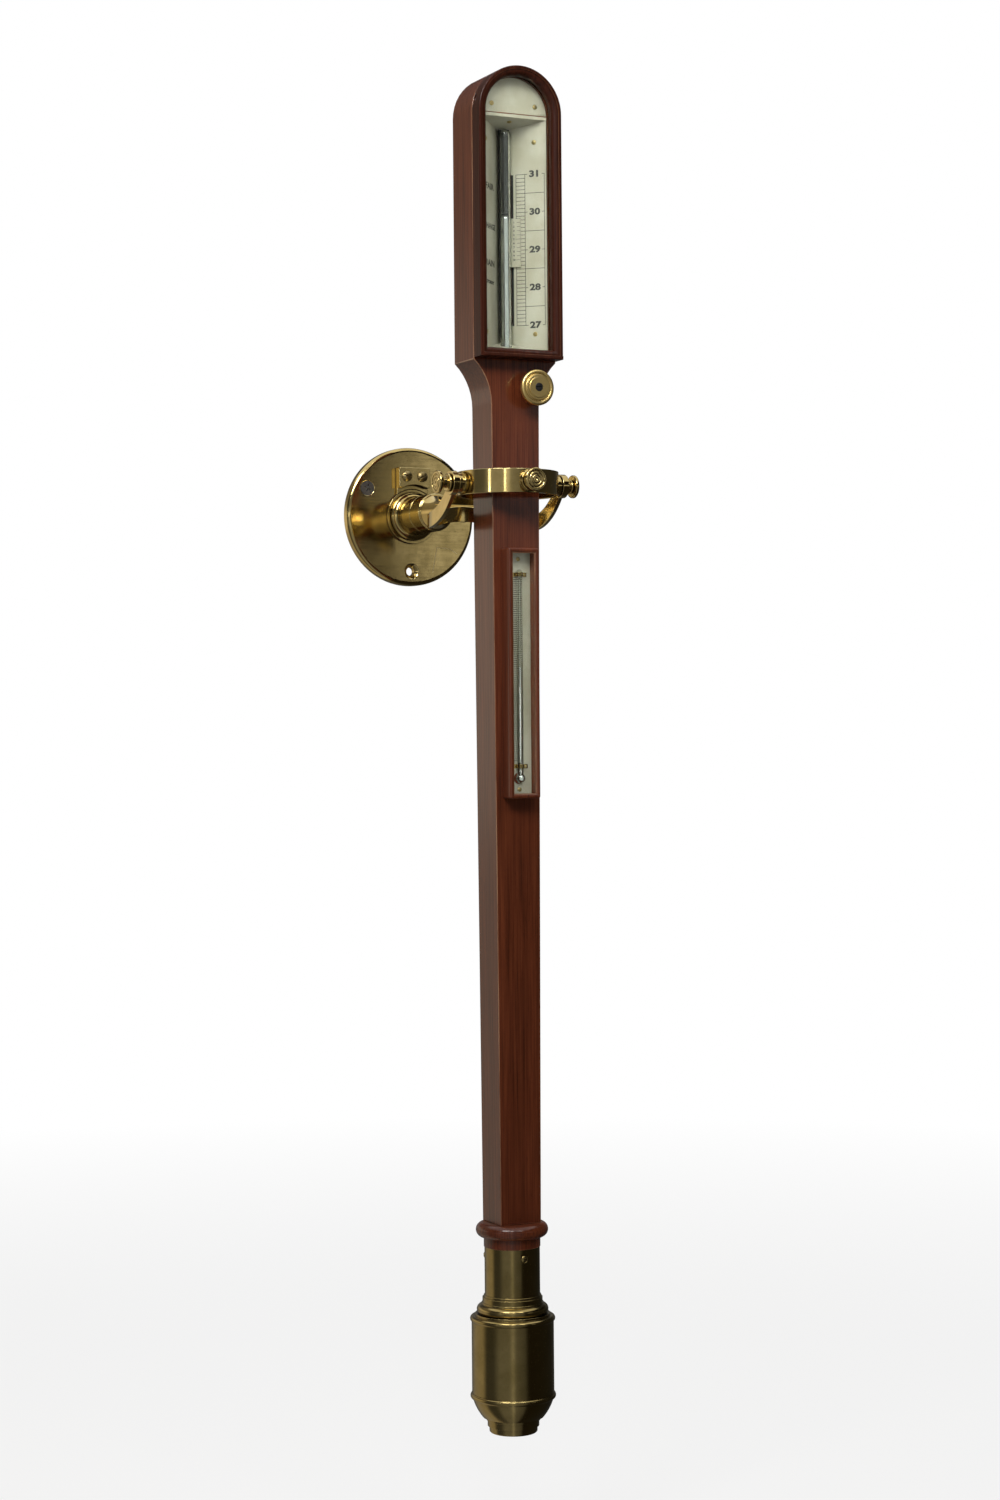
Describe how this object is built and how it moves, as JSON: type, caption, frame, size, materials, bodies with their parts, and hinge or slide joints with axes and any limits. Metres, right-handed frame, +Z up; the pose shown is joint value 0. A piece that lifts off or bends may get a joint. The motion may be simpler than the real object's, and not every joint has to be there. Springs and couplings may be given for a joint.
{
  "type": "marine stick barometer",
  "caption": "Marine stick barometer: tapering wooden case with glazed round-topped head, vernier, thermometer and brass cistern, hung in a brass gimbal from a round wall plate.",
  "frame": {"origin": "centre of the wall plate's back face, on the wall", "axes": "+Z up along the hanging case, -Y out of the wall towards the reader, +Y into the wall, +X to the reader's right"},
  "size_m": [0.104, 0.21, 0.9147],
  "materials": {
    "polished_brass": "polished, lacquer worn",
    "aged_brass": "aged, satin",
    "gilt_brass": "satin",
    "pale_screws": "dull",
    "dark_steel": "blued, dull",
    "mahogany": "french polished",
    "boxwood": "turned, bare",
    "cork": "bare",
    "ivorine": "satin",
    "clear_glass": "polished",
    "mercury": "liquid mirror",
    "white_leather": "tanned"
  },
  "bodies": {
    "wall": {"wall_plate": "polished_brass", "arm_socket": "polished_brass", "socket_bolt": "dark_steel", "keeper": "polished_brass", "keeper_screws": "pale_screws", "yoke": "polished_brass", "left_pivot_screw": "polished_brass", "right_pivot_screw": "polished_brass"},
    "ring": {"gimbal_ring": "polished_brass", "front_pivot_screw": "polished_brass", "rear_pivot_screw": "polished_brass"},
    "case": {"case": "mahogany", "back_board": "mahogany", "board_screws": "pale_screws", "pivot_bushes": "polished_brass", "left_plate": "ivorine", "right_plate": "ivorine", "ceiling_plate": "ivorine", "floor_plate": "ivorine", "name_plate": "ivorine", "plate_screws": "pale_screws", "barometer_tube": "clear_glass", "mercury_column": "mercury", "foot_collar": "mahogany", "tube_packing": "cork", "cistern_cover": "aged_brass", "neck_screws": "aged_brass", "cistern_cup": "boxwood", "cistern_mercury": "mercury", "cistern_leather": "white_leather", "leather_pad": "boxwood", "portable_screw": "polished_brass", "cistern_base": "aged_brass", "cistern_cap": "aged_brass", "thermometer_case": "mahogany", "thermometer_glass": "clear_glass", "thermometer_plate": "ivorine", "thermometer_tube": "clear_glass", "thermometer_mercury": "mercury", "thermometer_clips": "polished_brass", "thermometer_screws": "pale_screws", "hinge_leaves": "polished_brass", "hinge_pins": "polished_brass", "knob_bush": "polished_brass", "works_plate": "polished_brass", "works_screws": "dark_steel"},
    "door": {"door_frame": "mahogany", "door_glass": "clear_glass", "glazing_bead": "mahogany", "door_leaves": "polished_brass"},
    "vernier": {"vernier_plate": "ivorine", "vernier_rack": "polished_brass", "vernier_rivets": "pale_screws"},
    "knob": {"vernier_knob": "gilt_brass", "pinion_arbor": "polished_brass", "knob_screw": "dark_steel"}
  },
  "joints": [
    {"name": "ring_tilt", "type": "hinge", "parent": "wall", "child": "ring", "pos_m": [0, -0.166, 0.01], "axis": [1, 0, 0], "range_deg": [-24, 10]},
    {"name": "case_tilt", "type": "hinge", "parent": "ring", "child": "case", "pos_m": [0, -0.166, 0.01], "axis": [0, 1, 0], "range_deg": [-20, 20]},
    {"name": "door_swing", "type": "hinge", "parent": "case", "child": "door", "pos_m": [0.0323, -0.17935, 0.19], "axis": [0, 0, 1], "range_deg": [0, 110]},
    {"name": "knob_turn", "type": "hinge", "parent": "case", "child": "knob", "pos_m": [0.011, -0.184, 0.073], "axis": [0, 1, 0], "range_deg": [-712, 427]},
    {"name": "vernier_slide", "type": "slide", "parent": "case", "child": "vernier", "axis": [0, 0, 1], "range_m": [-0.0495, 0.0295]}
  ],
  "couplings": [
    {"joint": "knob_turn", "follows": "vernier_slide", "rad_per_m": 250}
  ]
}
